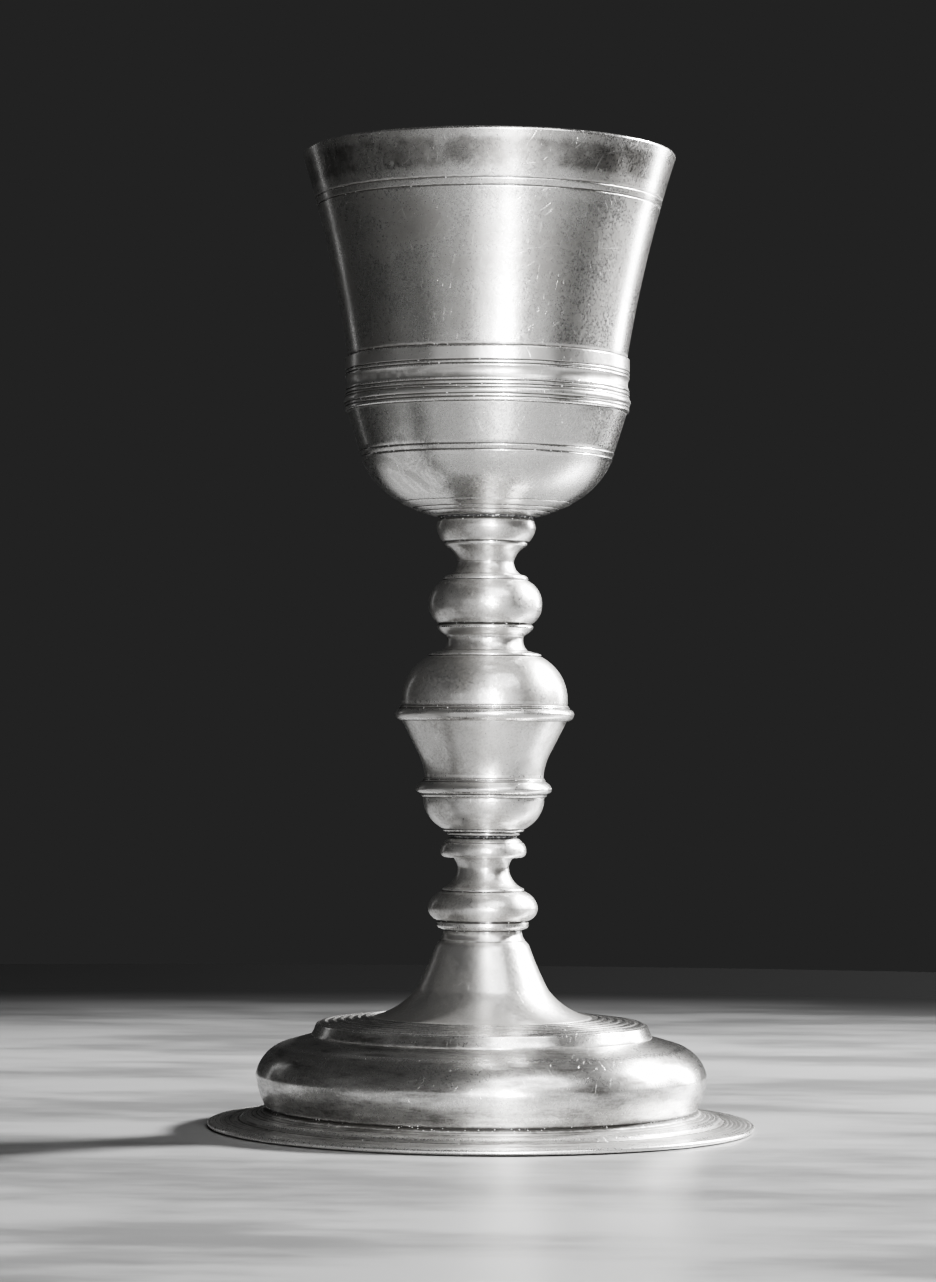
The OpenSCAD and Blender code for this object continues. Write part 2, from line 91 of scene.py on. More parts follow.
def half_section(mesh):
    """The outline of a turned piece, as (radius, height) points in order, and whether it closes on itself.
    It is read from the vertices and edges that lie in the half-plane y = 0, x > 0."""
    def key(vertex):
        return round(vertex.co.x / MM, 4), round(vertex.co.z / MM, 4)

    in_plane = {v.index: key(v) for v in mesh.vertices if abs(v.co.y) < 1e-6 and v.co.x > -1e-7}
    links = {point: set() for point in in_plane.values()}
    for edge in mesh.edges:
        a, b = edge.vertices
        if a in in_plane and b in in_plane and in_plane[a] != in_plane[b]:
            links[in_plane[a]].add(in_plane[b])
            links[in_plane[b]].add(in_plane[a])
    loose = sorted((p for p in links if len(links[p]) == 1 and p[0] > 0), key=lambda p: (p[1], p[0]))
    while loose:
        point = loose.pop(0)
        level = [p for p in loose if abs(p[1] - point[1]) < 1e-3]
        other = level[0] if level else (0.0, point[1])
        if level:
            loose.remove(other)
        links.setdefault(other, set()).add(point)
        links[point].add(other)
    ends = sorted((p for p in links if len(links[p]) == 1), key=lambda p: p[1])
    path = [ends[0] if ends else min(links, key=lambda p: (p[1], p[0]))]
    ways = sorted(links[path[0]], key=lambda p: -p[0])
    while ways:
        path.append(ways[0])
        ways = [p for p in links[path[-1]] if p not in path[-2:] and p != path[0]]
    points = np.array(path) * MM
    r, z = points.T
    if np.sum(r * np.roll(z, -1) - np.roll(r, -1) * z) < 0:
        points = points[::-1]
    return points, not ends


def unit(vectors):
    return vectors / np.maximum(np.linalg.norm(vectors, axis=-1, keepdims=True), 1e-12)


def bent(p, q, start, end, t):
    """Points at the shares t along a curve from p to q that leaves along start and arrives along end."""
    t = np.asarray(t)[:, None]
    length = np.linalg.norm(q - p)
    return ((2 * t**3 - 3 * t**2 + 1) * p + (t**3 - 2 * t**2 + t) * start * length
            + (3 * t**2 - 2 * t**3) * q + (t**3 - t**2) * end * length)


def fine_outline(points, closed, step, worn=WORN_RADIUS):
    """The same outline with its arcs smooth, its corners worn round and a point every step or less."""
    count = len(points)
    runs = count if closed else count - 1
    chords = np.array([points[(i + 1) % count] - points[i] for i in range(runs)])
    lengths = np.linalg.norm(chords, axis=1)
    ways = unit(chords)
    corner = [True] * count
    tangent = [None] * count
    for i in range(count):
        if closed or 0 < i < count - 1:
            before, after = ways[i - 1], ways[i % runs]
            turn = math.degrees(math.acos(np.clip(np.dot(before, after), -1, 1)))
            corner[i] = turn > CORNER_DEGREES
            tangent[i] = unit(before * lengths[i % runs] + after * lengths[i - 1])
    fine = []
    for i in range(runs):
        p, q = points[i], points[(i + 1) % count]
        j = (i + 1) % count
        shorter = [lengths[k % runs] for k in (i - 1, i + 1) if closed or 0 <= k < runs]
        straight = lengths[i] > STRAIGHT_RATIO * min(shorter)
        start = ways[i] if corner[i] or straight else tangent[i]
        end = ways[i] if corner[j] or straight else tangent[j]
        open_start, open_end = not closed and i == 0, not closed and i == runs - 1
        cut = min(worn, 0.34 * lengths[i])
        low = cut if corner[i] and not open_start else 0
        high = lengths[i] - (cut if corner[j] and not open_end else 0)
        stops = list(np.linspace(low, high, max(1, math.ceil((high - low) / step)) + 1))
        if stops[1] - low > 2.5 * SUPPORT:
            stops[1:1] = [low + SUPPORT] if low else []
            stops[-1:-1] = [high - SUPPORT] if high < lengths[i] else []
        run = bent(p, q, start, end, np.array(stops) / lengths[i])
        if fine and corner[i]:
            fine.append(worn_corner(fine[-1][-1], p, run[0]))
        elif fine:
            run = run[1:]
        fine.append(run)
    if closed and corner[0]:
        fine.append(worn_corner(fine[-1][-1], points[0], fine[0][0]))
    elif closed:
        fine[-1] = fine[-1][:-1]
    fine = np.concatenate(fine)
    fine[:, 0] = np.clip(fine[:, 0], points[:, 0].min(), points[:, 0].max())
    fine[:, 1] = np.clip(fine[:, 1], points[:, 1].min(), points[:, 1].max())
    return fine


def worn_corner(p, corner, q, steps=4):
    """Points of a rounded corner between p and q, both left out."""
    t = np.linspace(0, 1, steps + 1)[1:-1, None]
    return (1 - t)**2 * p + 2 * t * (1 - t) * corner + t**2 * q


# The outside of the whole chalice, for what is sheltered and what is worn

class Silhouette:
    """The largest radius at each height, over all the pieces."""

    def __init__(self, outlines, step=0.05 * MM):
        self.step = step
        top = max(outline[:, 1].max() for outline in outlines)
        self.radius = np.zeros(int(top / step) + 2)
        for outline in outlines:
            for p, q in zip(outline[:-1], outline[1:]):
                spots = np.linspace(p, q, max(2, int(np.linalg.norm(q - p) / step) * 2))
                np.maximum.at(self.radius, (spots[:, 1] / step).round().astype(int), spots[:, 0])

    def at(self, height):
        return self.radius[np.clip((height / self.step).round().astype(int), 0, len(self.radius) - 1)]

    def sheltered(self, outline, reach=1.6 * MM):
        """0 on open surfaces, up to 1 deep in a groove, from how high the metal stands on both sides."""
        r, z = outline.T
        offsets = np.geomspace(0.1 * MM, reach, 12)
        below, above = (np.max([np.arctan2(self.at(z + way * d) - r, d) for d in offsets], axis=0)
                        for way in (-1, 1))
        return np.clip((below + above) / math.pi, 0, 1)

    def hollow(self, outline, reach=0.3 * MM, deepest=0.08 * MM):
        """0 on flat and rounded-out surfaces, up to 1 at the bottom of a hollow line or an inside corner."""
        steps = np.concatenate(([0], np.cumsum(np.linalg.norm(np.diff(outline, axis=0), axis=1))))
        ahead, behind = (np.stack([np.interp(steps + way * reach, steps, axis) for axis in outline.T], axis=1)
                         for way in (1, -1))
        run = unit(ahead - behind)
        outward = np.stack((run[:, 1], -run[:, 0]), axis=1)
        return np.clip(np.sum(((ahead + behind) / 2 - outline) * outward, axis=1) / deepest, 0, 1)

    def proud(self, outline, reach=0.4 * MM):
        """0 on flat surfaces, more on edges that a cloth rubs."""
        r, z = outline.T
        around = (self.at(z + reach) + self.at(z - reach)) / 2
        return np.clip((r - around) / reach, 0, 1)

    def hidden(self, outline, inside=0.7 * MM):
        """1 on surfaces inside the outermost one, such as a bore or the inside of the foot."""
        return (outline[:, 0] < self.at(outline[:, 1]) - inside).astype(float)


# Turning a piece

def smooth_noise(angle, height, waves, seed, tall=20 * MM):
    """A gentle random wave over the angle and the height of a piece, from -1 to 1."""
    random = np.random.default_rng(seed)
    total = np.zeros(np.broadcast(angle, height).shape)
    for _ in range(6):
        around, shift = random.integers(1, waves + 1), random.uniform(0, 2 * math.pi)
        slope, lean = random.uniform(-1, 1), random.uniform(0.6, 1.4)
        total = total + np.cos(around * angle + shift + slope * lean * height / tall * 2 * math.pi)
    return total / 6


def dent(angle, height, at_degrees, at_height, radius, wide, deep, tall=None):
    """A shallow dent, round unless tall is given; the angle is measured from the front, to the right."""
    away = np.angle(np.exp(1j * (angle - math.radians(at_degrees - 90)))) * radius
    return deep * np.exp(-(away / wide)**2 - ((height - at_height) / (tall or wide))**2)


def turned_piece(name, outline, closed, facets, silhouette, relief=None):
    """A piece turned from its outline. relief gives how far each point is moved, as (inward, up)."""
    angles = np.arange(facets) * 2 * math.pi / facets
    count = len(outline)
    r = np.broadcast_to(outline[:, 0], (facets, count))
    z = np.broadcast_to(outline[:, 1], (facets, count))
    if relief:
        inward, up = relief(angles[:, None], r, z)
        r, z = np.maximum(r - inward, np.minimum(r, 1e-5)), z + up
    points = np.stack((r * np.cos(angles)[:, None], r * np.sin(angles)[:, None], z), axis=-1)
    first_pole, last_pole = (not closed and outline[end, 0] < 1e-6 for end in (0, -1))
    ends = [end for end, pole in ((0, first_pole), (-1, last_pole)) if pole]
    inner = slice(1 if first_pole else 0, count - 1 if last_pole else count)
    rings = range(count)[inner]
    index = {ring: k for k, ring in enumerate(rings)}
    verts = points[:, inner].reshape(-1, 3)
    poles = [points[0, end] for end in ends]
    faces, corners = [], []
    wide = len(rings)
    steps = np.concatenate(([0], np.cumsum(np.linalg.norm(np.diff(outline, axis=0), axis=1))))
    whole = steps[-1] + (np.linalg.norm(outline[0] - outline[-1]) if closed else 0)
    along = steps / whole
    pairs = [(a, b, along[a], along[b]) for a, b in zip(rings[:-1], rings[1:])]
    if closed:
        pairs.append((rings[-1], rings[0], along[-1], 1.0))
    for i in range(facets):
        j = (i + 1) % facets
        u, v = i / facets, (i + 1) / facets
        for a, b, low, high in pairs:
            faces.append((i * wide + index[a], j * wide + index[a], j * wide + index[b], i * wide + index[b]))
            corners += [(u, low), (v, low), (v, high), (u, high)]
        if first_pole:
            faces.append((len(verts), j * wide, i * wide))
            corners += [(u, 0), (v, along[1]), (u, along[1])]
        if last_pole:
            faces.append((len(verts) + len(poles) - 1, i * wide + wide - 1, j * wide + wide - 1))
            corners += [(u, 1), (u, along[-2]), (v, along[-2])]
    mesh = bpy.data.meshes.new(name)
    mesh.from_pydata(np.concatenate((verts, poles)) if poles else verts, [], faces)
    mesh.uv_layers.new(name="turned").data.foreach_set("uv", np.array(corners, np.float32).ravel())
    mesh.polygons.foreach_set("use_smooth", [True] * len(faces))
    first_facet = np.stack((r[0], z[0]), axis=1)
    rows = {
        "along": steps,
        "sheltered": np.maximum(silhouette.sheltered(outline), 0.8 * silhouette.hollow(first_facet)),
        "proud": silhouette.proud(outline),
        "hidden": silhouette.hidden(outline),
    }
    for title, row in rows.items():
        values = np.tile(row[inner], facets)
        values = np.concatenate((values, [row[end] for end in ends]))
        mesh.attributes.new(title, "FLOAT", "POINT").data.foreach_set("value", values.astype(np.float32))
    mesh.update()
    piece = bpy.data.objects.new(name, mesh)
    bpy.context.scene.collection.objects.link(piece)
    return piece


# Materials

TURNED_GLOSS = 0.6
QUARTER_TURN = 0.25
COAT_ROUGHNESS = 0.17
COAT_IOR = 2.4

# Hairline scratches: their angle, their scales along and across, and the noise above which they show
SCRATCHES = ((58, 60.0, 1900.0, 0.7), (-66, 85.0, 2100.0, 0.7), (8, 50.0, 2000.0, 0.72),
             (81, 150.0, 2400.0, 0.68), (37, 130.0, 2500.0, 0.69))


class Metal:
    """Short calls that add shader nodes to one material. Lengths in the surface maps are metres."""

    def __init__(self, name):
        self.material = bpy.data.materials.new(name)
        self.material.use_nodes = True
        self.nodes = self.material.node_tree.nodes
        self.links = self.material.node_tree.links
        self.nodes.clear()
        output = self.nodes.new("ShaderNodeOutputMaterial")
        self.shader = self.nodes.new("ShaderNodeBsdfPrincipled")
        self.links.new(self.shader.outputs[0], output.inputs["Surface"])

    def node(self, kind, inputs, **settings):
        made = self.nodes.new(kind)
        for name, value in settings.items():
            setattr(made, name, value)
        for name, value in inputs.items():
            self.put(made.inputs[name], value)
        return made

    def put(self, socket, value):
        if isinstance(value, bpy.types.NodeSocket):
            self.links.new(value, socket)
        else:
            socket.default_value = value

    def math(self, operation, a, b=0.0, c=0.0):
        return self.node("ShaderNodeMath", {0: a, 1: b, 2: c}, operation=operation).outputs[0]

    def attribute(self, name):
        return self.node("ShaderNodeAttribute", {}, attribute_name=name).outputs["Fac"]

    def vector(self, x, y, z):
        return self.node("ShaderNodeCombineXYZ", {"X": x, "Y": y, "Z": z}).outputs[0]

    def noise(self, vector, scale, detail=3.0, rough=0.55, distortion=0.0):
        inputs = {"Vector": vector, "Scale": scale, "Detail": detail, "Roughness": rough,
                  "Distortion": distortion}
        return self.node("ShaderNodeTexNoise", inputs).outputs[0]

    def fade(self, value, low, high, bottom=0.0, top=1.0):
        """bottom where value is at low or less, top where it is at high or more, smooth between."""
        inputs = {"Value": value, "From Min": low, "From Max": high, "To Min": bottom, "To Max": top}
        return self.node("ShaderNodeMapRange", inputs, interpolation_type="SMOOTHSTEP").outputs[0]

    def mix(self, share, a, b):
        return self.node("ShaderNodeMix", {0: share, 2: a, 3: b}, data_type="FLOAT").outputs[0]

    def blend(self, share, a, b):
        return self.node("ShaderNodeMix", {0: share, 6: a, 7: b}, data_type="RGBA").outputs[2]

    def turned_map(self, seed):
        """The sockets that the surface maps are made from: the spot, the two lengths along the surface, the
        turn, and the place, which is the spot moved by the seed so that no two materials look alike."""
        self.spot = self.node("ShaderNodeTexCoord", {}).outputs["Object"]
        split = self.node("ShaderNodeSeparateXYZ", {"Vector": self.spot})
        x, y, self.height = split.outputs
        radius = self.math("SQRT", self.math("ADD", self.math("MULTIPLY", x, x), self.math("MULTIPLY", y, y)))
        self.radius = self.math("MAXIMUM", radius, 1e-4)
        self.cos = self.math("DIVIDE", x, self.radius)
        self.sin = self.math("DIVIDE", y, self.radius)
        turn = self.math("ARCTAN2", x, self.math("MULTIPLY", y, -1.0))
        self.around = self.math("MULTIPLY", turn, self.radius)
        self.along = self.attribute("along")
        self.place = self.node("ShaderNodeVectorMath", {0: self.spot, 1: (seed, seed * 0.7, seed * 1.3)},
                               operation="ADD").outputs[0]

    def rings(self, across, around, detail=2.0, rough=0.5):
        """Noise drawn out round the piece: across is its scale along the outline, around its scale
        round the axis."""
        vector = self.vector(self.math("MULTIPLY", self.cos, around), self.math("MULTIPLY", self.sin, around),
                             self.math("MULTIPLY", self.along, across))
        return self.noise(vector, 1.0, detail, rough)

    def strokes(self, degrees, long, fine, detail=1.0):
        """Noise drawn out into straight strokes, at an angle to the turning lines."""
        c, s = math.cos(math.radians(degrees)), math.sin(math.radians(degrees))
        run = self.math("ADD", self.math("MULTIPLY", self.around, c * long),
                        self.math("MULTIPLY", self.along, s * long))
        across = self.math("ADD", self.math("MULTIPLY", self.around, -s * fine),
                           self.math("MULTIPLY", self.along, c * fine))
        return self.noise(self.vector(run, across, 0.0), 1.0, detail, 0.5)

    def specks(self, scale, share, size):
        """1 in scattered round specks: share is how many cells hold one, size its radius in cells."""
        cells = self.node("ShaderNodeTexVoronoi", {"Vector": self.place, "Scale": scale})
        chance = self.node("ShaderNodeSeparateColor", {"Color": cells.outputs["Color"]}).outputs[0]
        chosen = self.math("LESS_THAN", chance, share)
        return self.math("MULTIPLY", chosen, self.fade(cells.outputs["Distance"], size, size * 0.55))

    def bump(self, height, strength, distance, normal=None):
        inputs = {"Height": height, "Strength": strength, "Distance": distance}
        if normal:
            inputs["Normal"] = normal
        return self.node("ShaderNodeBump", inputs).outputs[0]


def from_axis(degrees, radius, height):
    """A point at an angle from the front, to the right, as seen from the chalice's axis."""
    a = math.radians(degrees)
    return radius * math.sin(a), -radius * math.cos(a), height


def grey(value, warmth=0.0):
    return (value * (1 + warmth), value, value * (1 - 1.6 * warmth), 1)


def aged_metal(name, seed, rough, metal, clouds, polish, clean=0.6, tarnish=0.3, cloud_scale=70, lines=0.5,
               streaks=0.0, grit=0.5, dust=0.0, grime_shade_low=0.24, gloss=TURNED_GLOSS, stain=None, smear=None,
               rubbed_below=None):
    """Satin silvery metal, tarnished in clouds, with soiling and painted shade in its grooves and bright worn
    edges.
    clean and tarnish are its greys, and metal is how metallic it is where it is clean and where it is dull.
    Streaks draw the clouds out round the piece. Soiling and painted shade start where a surface is more
    sheltered than grime_shade_low. gloss is how far the turning marks draw out the highlights, and polish
    the share of a sharper shine over them. Below the height rubbed_below there is less tarnish."""
    m = Metal(name)
    m.turned_map(seed)
    hidden = m.attribute("hidden")
    # Tarnish: broad clouds with a fine grain, and streaks round the piece
    broad = m.noise(m.place, cloud_scale, 6.0, 0.62, 0.4)
    grain = m.noise(m.place, 1500.0, 6.0, 0.75)
    haze = m.rings(330.0, 4.5, 6.0, 0.66)
    cloud = m.mix(streaks, broad, haze)
    mottled = m.math("ADD", cloud, m.math("MULTIPLY", m.math("SUBTRACT", grain, 0.5), 0.55 * grit))
    dull = m.fade(mottled, 0.34, 0.7, 0.0, clouds)
    if rubbed_below:
        dull = m.math("MULTIPLY", dull, m.fade(m.height, rubbed_below, rubbed_below + 3 * MM, 0.3, 1.0))
    # Turning lines and polishing strokes
    turning = m.rings(2600.0, 0.9, 3.0, 0.6)
    wiped_a = m.strokes(66, 90.0, 2900.0, 3.0)
    wiped_b = m.strokes(-52, 120.0, 2600.0, 3.0)
    wiped = m.math("ADD", m.math("MULTIPLY", wiped_a, 0.5), m.math("MULTIPLY", wiped_b, 0.5))
    scratches = 0.0
    for degrees, long, fine, rare in SCRATCHES:
        scratch = m.fade(m.strokes(degrees, long, fine, 2.0), rare, rare + 0.06)
        scratches = m.math("MAXIMUM", scratches, scratch)
    # Soiling and painted shade where a cloth doesn't reach, with light flecks in it, pits, and bright rubbed
    # edges
    ragged = m.math("MULTIPLY", m.math("SUBTRACT", m.noise(m.place, 520.0, 4.0, 0.65), 0.5), 0.22)
    # Painted shade: the sheltered mask is high where nearby metal hides a groove from its surroundings, so
    # this darkens grooves and joints as shade would, on top of soiling
    grime_and_shade = m.fade(m.math("ADD", m.attribute("sheltered"), ragged), grime_shade_low, grime_shade_low + 0.24)
    grime_and_shade = m.math("MULTIPLY", grime_and_shade, m.math("SUBTRACT", 1.0, m.math("MULTIPLY", hidden, 0.75)))
    pits = m.math("MAXIMUM", m.specks(520.0, 0.02, 0.13), m.specks(1300.0, 0.04, 0.2))
    rubbed = m.fade(m.attribute("proud"), 0.12, 0.45)
    flecks = m.math("MAXIMUM", m.math("MULTIPLY", m.specks(1500.0, 0.16, 0.34), grime_and_shade),
                    m.math("MULTIPLY", m.specks(760.0, 0.1, 0.13), dust))
    # Colour
    tone = m.blend(dull, grey(clean, 0.012), grey(tarnish, 0.03))
    if smear:
        tone = m.blend(dried_smear(m, *smear), tone, grey(0.9, 0.01))
    if stain:
        tone = m.blend(stained_band(m, *stain), tone, grey(0.12, 0.04))
    tone = m.blend(m.math("MULTIPLY", rubbed, 0.55), tone, grey(min(0.9, clean * 1.22), 0.01))
    tone = m.blend(m.math("MULTIPLY", scratches, 0.4), tone, grey(min(0.92, clean * 1.4), 0.01))
    # Near-black painted shade and soiling in grooves and joints, together with the dark pits
    dirt_and_shade = m.math("MAXIMUM", grime_and_shade, m.math("MULTIPLY", pits, 0.8))
    tone = m.blend(dirt_and_shade, tone, grey(0.035, 0.05))
    m.put(m.shader.inputs["Base Color"], m.blend(flecks, tone, grey(0.8)))
    m.put(m.shader.inputs["Metallic"], m.mix(dirt_and_shade, m.mix(dull, *metal), 0.15))
    roughness = m.math("ADD", rough, m.math("MULTIPLY", dull, 0.1))
    roughness = m.math("ADD", roughness, m.math("MULTIPLY", m.math("SUBTRACT", grain, 0.5), 0.5 * grit))
    roughness = m.math("ADD", roughness, m.math("MULTIPLY", m.math("SUBTRACT", wiped, 0.5), 0.2))
    roughness = m.math("SUBTRACT", roughness, m.math("MULTIPLY", rubbed, 0.06))
    m.put(m.shader.inputs["Roughness"], m.mix(dirt_and_shade, roughness, 0.8))
    # Relief
    normal = m.bump(turning, lines, 0.012 * MM)
    normal = m.bump(wiped, 0.5, 0.02 * MM, normal)
    normal = m.bump(grain, 0.5 * grit, 0.03 * MM, normal)
    dug = m.math("SUBTRACT", m.math("MULTIPLY", scratches, -0.5), m.math("MULTIPLY", dirt_and_shade, 0.8))
    normal = m.bump(dug, 0.7, 0.05 * MM, normal)
    normal = m.bump(broad, 0.25, 0.5 * MM, normal)
    m.put(m.shader.inputs["Normal"], normal)
    # Fine turning marks throw the light up and down, across the way they run
    turn_way = m.node("ShaderNodeTangent", {}, direction_type="RADIAL", axis="Z").outputs[0]
    m.put(m.shader.inputs["Tangent"], turn_way)
    m.shader.inputs["Coat Weight"].default_value = polish
    m.shader.inputs["Coat Roughness"].default_value = COAT_ROUGHNESS
    m.shader.inputs["Coat IOR"].default_value = COAT_IOR
    m.shader.inputs["Anisotropic"].default_value = gloss
    m.shader.inputs["Anisotropic Rotation"].default_value = QUARTER_TURN
    return m.material


def stained_band(m, low, high, deep):
    """How dark the stain between two heights is: ragged below, patchy, with small spots left clean."""
    edge = m.math("MULTIPLY", m.math("SUBTRACT", m.noise(m.place, 190.0, 5.0, 0.65), 0.5), 4 * MM)
    level = m.math("ADD", m.height, edge)
    band = m.math("MULTIPLY", m.fade(level, low, low + 2.2 * MM), m.fade(level, high, high - 2 * MM))
    patchy = m.fade(m.noise(m.place, 50.0, 5.0, 0.65), 0.38, 0.56, 0.2, 1.0)
    kept = m.math("SUBTRACT", 1.0, m.specks(330.0, 0.1, 0.3))
    return m.math("MULTIPLY", m.math("MULTIPLY", band, patchy), m.math("MULTIPLY", kept, deep))


def dried_smear(m, degrees, radius, height, wide, strength):
    """Pale wavy tide lines where a drop has dried, on the cup's side at an angle from the front."""
    middle = from_axis(degrees, radius, height)
    away = m.node("ShaderNodeVectorMath", {0: m.spot, 1: middle}, operation="DISTANCE").outputs["Value"]
    waves = m.noise(m.place, 110.0, 5.0, 0.6, 1.6)
    lines = m.fade(m.math("ABSOLUTE", m.math("SUBTRACT", waves, 0.5)), 0.05, 0.0)
    patch = m.math("ADD", m.math("MULTIPLY", lines, 0.8), m.fade(waves, 0.4, 0.7, 0.0, 0.35))
    return m.math("MULTIPLY", m.math("MULTIPLY", patch, strength), m.fade(away, wide, wide * 0.5))


def plain_metal(name, seed, color, rough, stained):
    """Unpolished metal that no one sees: dull, with oxide patches and file marks."""
    m = Metal(name)
    m.turned_map(seed)
    patches = m.fade(m.noise(m.place, 260.0, 6.0, 0.65), 0.42, 0.66)
    marks = m.noise(m.node("ShaderNodeMapping", {"Vector": m.place, "Scale": (300.0, 300.0, 3200.0)})
                    .outputs[0], 1.0, 3.0)
    m.put(m.shader.inputs["Base Color"], m.blend(patches, color, stained))
    m.put(m.shader.inputs["Metallic"], m.mix(patches, 0.95, 0.55))
    m.put(m.shader.inputs["Roughness"], m.mix(patches, rough, rough + 0.25))
    normal = m.bump(marks, 0.5, 0.03 * MM)
    m.put(m.shader.inputs["Normal"], m.bump(patches, 0.4, 0.06 * MM, normal))
    return m.material


def lead_packing(name):
    """Squeezed-out packing: dark, lumpy, with a few bright flecks."""
    m = Metal(name)
    m.turned_map(3.0)
    lumps = m.noise(m.place, 900.0, 5.0, 0.7)
    flecks = m.specks(1300.0, 0.45, 0.46)
    tone = m.blend(m.fade(lumps, 0.4, 0.7), grey(0.05), grey(0.25))
    m.put(m.shader.inputs["Base Color"], m.blend(flecks, tone, grey(0.9)))
    m.put(m.shader.inputs["Metallic"], m.mix(flecks, 0.2, 1.0))
    m.put(m.shader.inputs["Roughness"], m.mix(flecks, 0.75, 0.3))
    m.put(m.shader.inputs["Normal"], m.bump(lumps, 1.0, 0.2 * MM))
    return m.material


LIP_TOP = cad_box[1][2]
STAIN = (LIP_TOP - 10.6 * MM, LIP_TOP - 1.6 * MM, 0.8)      # from, to, how dark
SMEAR = (-38, 31 * MM, 167 * MM, 14 * MM, 1.0)              # degrees, radius, height, reach, how pale

STEM_LOOK = dict(tarnish=0.27, rough=0.37, metal=(0.94, 0.8), clouds=0.9, grit=1.6, dust=0.5, polish=0.8)
FOOT_LOOK = dict(cloud_scale=60, lines=0.8, dust=1.0)

# By slot, or by node for a piece that looks different from the rest of its slot
MATERIALS = {
    "cup_metal": aged_metal("cup_metal_aged", 0.0, tarnish=0.32, rough=0.27, metal=(0.97, 0.88),
                            clouds=0.75, grit=0.9, stain=STAIN, smear=SMEAR,
                            rubbed_below=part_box("cup_band")[0].z, grime_shade_low=0.14, polish=0.8),
    "moulding_metal": aged_metal("moulding_metal_aged", 1.7, rough=0.3, metal=(0.95, 0.8), clouds=0.5,
                                 lines=0.8, polish=0.5),
    "stem_metal": aged_metal("stem_metal_aged", 2.9, cloud_scale=110, **STEM_LOOK),
    "knop_metal": aged_metal("knop_metal_aged", 4.1, cloud_scale=90, **STEM_LOOK),
    "foot_metal": aged_metal("foot_metal_bright", 6.1, clean=0.74, tarnish=0.14, rough=0.27,
                             metal=(0.97, 0.9), clouds=1.0, streaks=0.85, gloss=0.75, polish=1.0,
                             **FOOT_LOOK),
    "foot_brim": aged_metal("foot_metal_matte", 5.3, clean=0.72, tarnish=0.16, rough=0.32,
                            metal=(0.94, 0.85), clouds=0.95, streaks=0.9, gloss=0.5, polish=0.4,
                            **FOOT_LOOK),
    "foot_trumpet": aged_metal("foot_metal_satin", 7.7, rough=0.36, metal=(0.94, 0.78), cloud_scale=80,
                               clouds=0.75, grit=0.9, dust=0.8, polish=0.4),
    "fitting_metal": plain_metal("fitting_metal_dull", 6.5, (0.42, 0.36, 0.25, 1), 0.42,
                                 (0.12, 0.1, 0.07, 1)),
    "packing_lead": lead_packing("packing_lead_rough"),
}


# Reliefs: the small faults of each piece

# Dents as degrees, height in metres, width and depth in millimetres; creases as degrees and height;
# nicks in the lip as degrees, width and depth in millimetres
CUP_DENTS = ((-52, 0.218, 5, 0.10), (-31, 0.206, 4, 0.08), (33, 0.226, 6, 0.10),
             (128, 0.214, 7, 0.22), (-141, 0.229, 5, 0.16), (58, 0.179, 4, 0.1))
CUP_CREASES = ((-45, 0.213), (-28, 0.212))
LIP_NICKS = ((81, 1.3, 0.35), (-136, 2.4, 0.15), (152, 1.5, 0.25))
DRUM_DENTS = ((-63, 0.016, 3.5, 0.16), (24, 0.019, 4, 0.12), (141, 0.013, 5, 0.3))


def cup_relief(angle, r, z):
    """The cup isn't quite round, and has dents, two upright creases and nicks in its lip."""
    foot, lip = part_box("cup_bowl")
    uneven = 0.16 * MM * np.clip((z - foot.z) / (lip.z - foot.z), 0, 1)
    inward = (0.5 + 0.5 * smooth_noise(angle, z, 5, 11, 60 * MM)) * uneven
    for degrees, height, wide, deep in CUP_DENTS:
        inward = inward + dent(angle, z, degrees, height, r, wide * MM, deep * MM)
    for degrees, height in CUP_CREASES:
        inward = inward + dent(angle, z, degrees, height, r, 1.3 * MM, 0.05 * MM, tall=7 * MM)
    up = np.zeros_like(inward)
    for degrees, wide, deep in LIP_NICKS:
        up = up - dent(angle, z, degrees, lip.z, r, wide * MM, deep * MM)
    return inward, up


def brim_relief(angle, r, z):
    """The brim's top has fine turned lines, and its edge isn't quite even."""
    rim_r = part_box("foot_brim")[1].x
    pitch, deep, above, outside = 1.15 * MM, 0.07 * MM, 1.2 * MM, 0.8 * rim_r
    top = (z > above) & (r > outside)
    lines = deep * (0.5 + 0.5 * np.cos(r / pitch * 2 * math.pi)) ** 2 * top
    uneven, uneven_from, uneven_width = 0.3 * MM, 0.86 * rim_r, 0.14 * rim_r
    out = np.clip((r - uneven_from) / uneven_width, 0, 1) ** 2
    lift = out * uneven * (1 + smooth_noise(angle, z, 5, 23)) / 2
    return np.zeros_like(lift), lift - lines


def drum_relief(angle, r, z):
    """The drum isn't quite round, and has dents."""
    uneven = 0.14 * MM
    inward = (0.5 + 0.5 * smooth_noise(angle, z, 6, 31, 25 * MM)) * uneven
    for degrees, height, wide, deep in DRUM_DENTS:
        inward = inward + dent(angle, z, degrees, height, r, wide * MM, deep * MM)
    return inward, np.zeros_like(inward)


def lumpy_relief(angle, r, z):
    """A squeezed-out packing has a lumpy edge, and its bore stays round."""
    lumps, wide_packing = 0.5 * MM, 9.5 * MM
    inward = (0.5 + 0.5 * smooth_noise(angle, z, 60, 41, 0.8 * MM)) * lumps
    bore_r = 8 * MM if r.max() > wide_packing else 5 * MM
    return np.where(r < bore_r, 0, inward), np.zeros_like(inward)


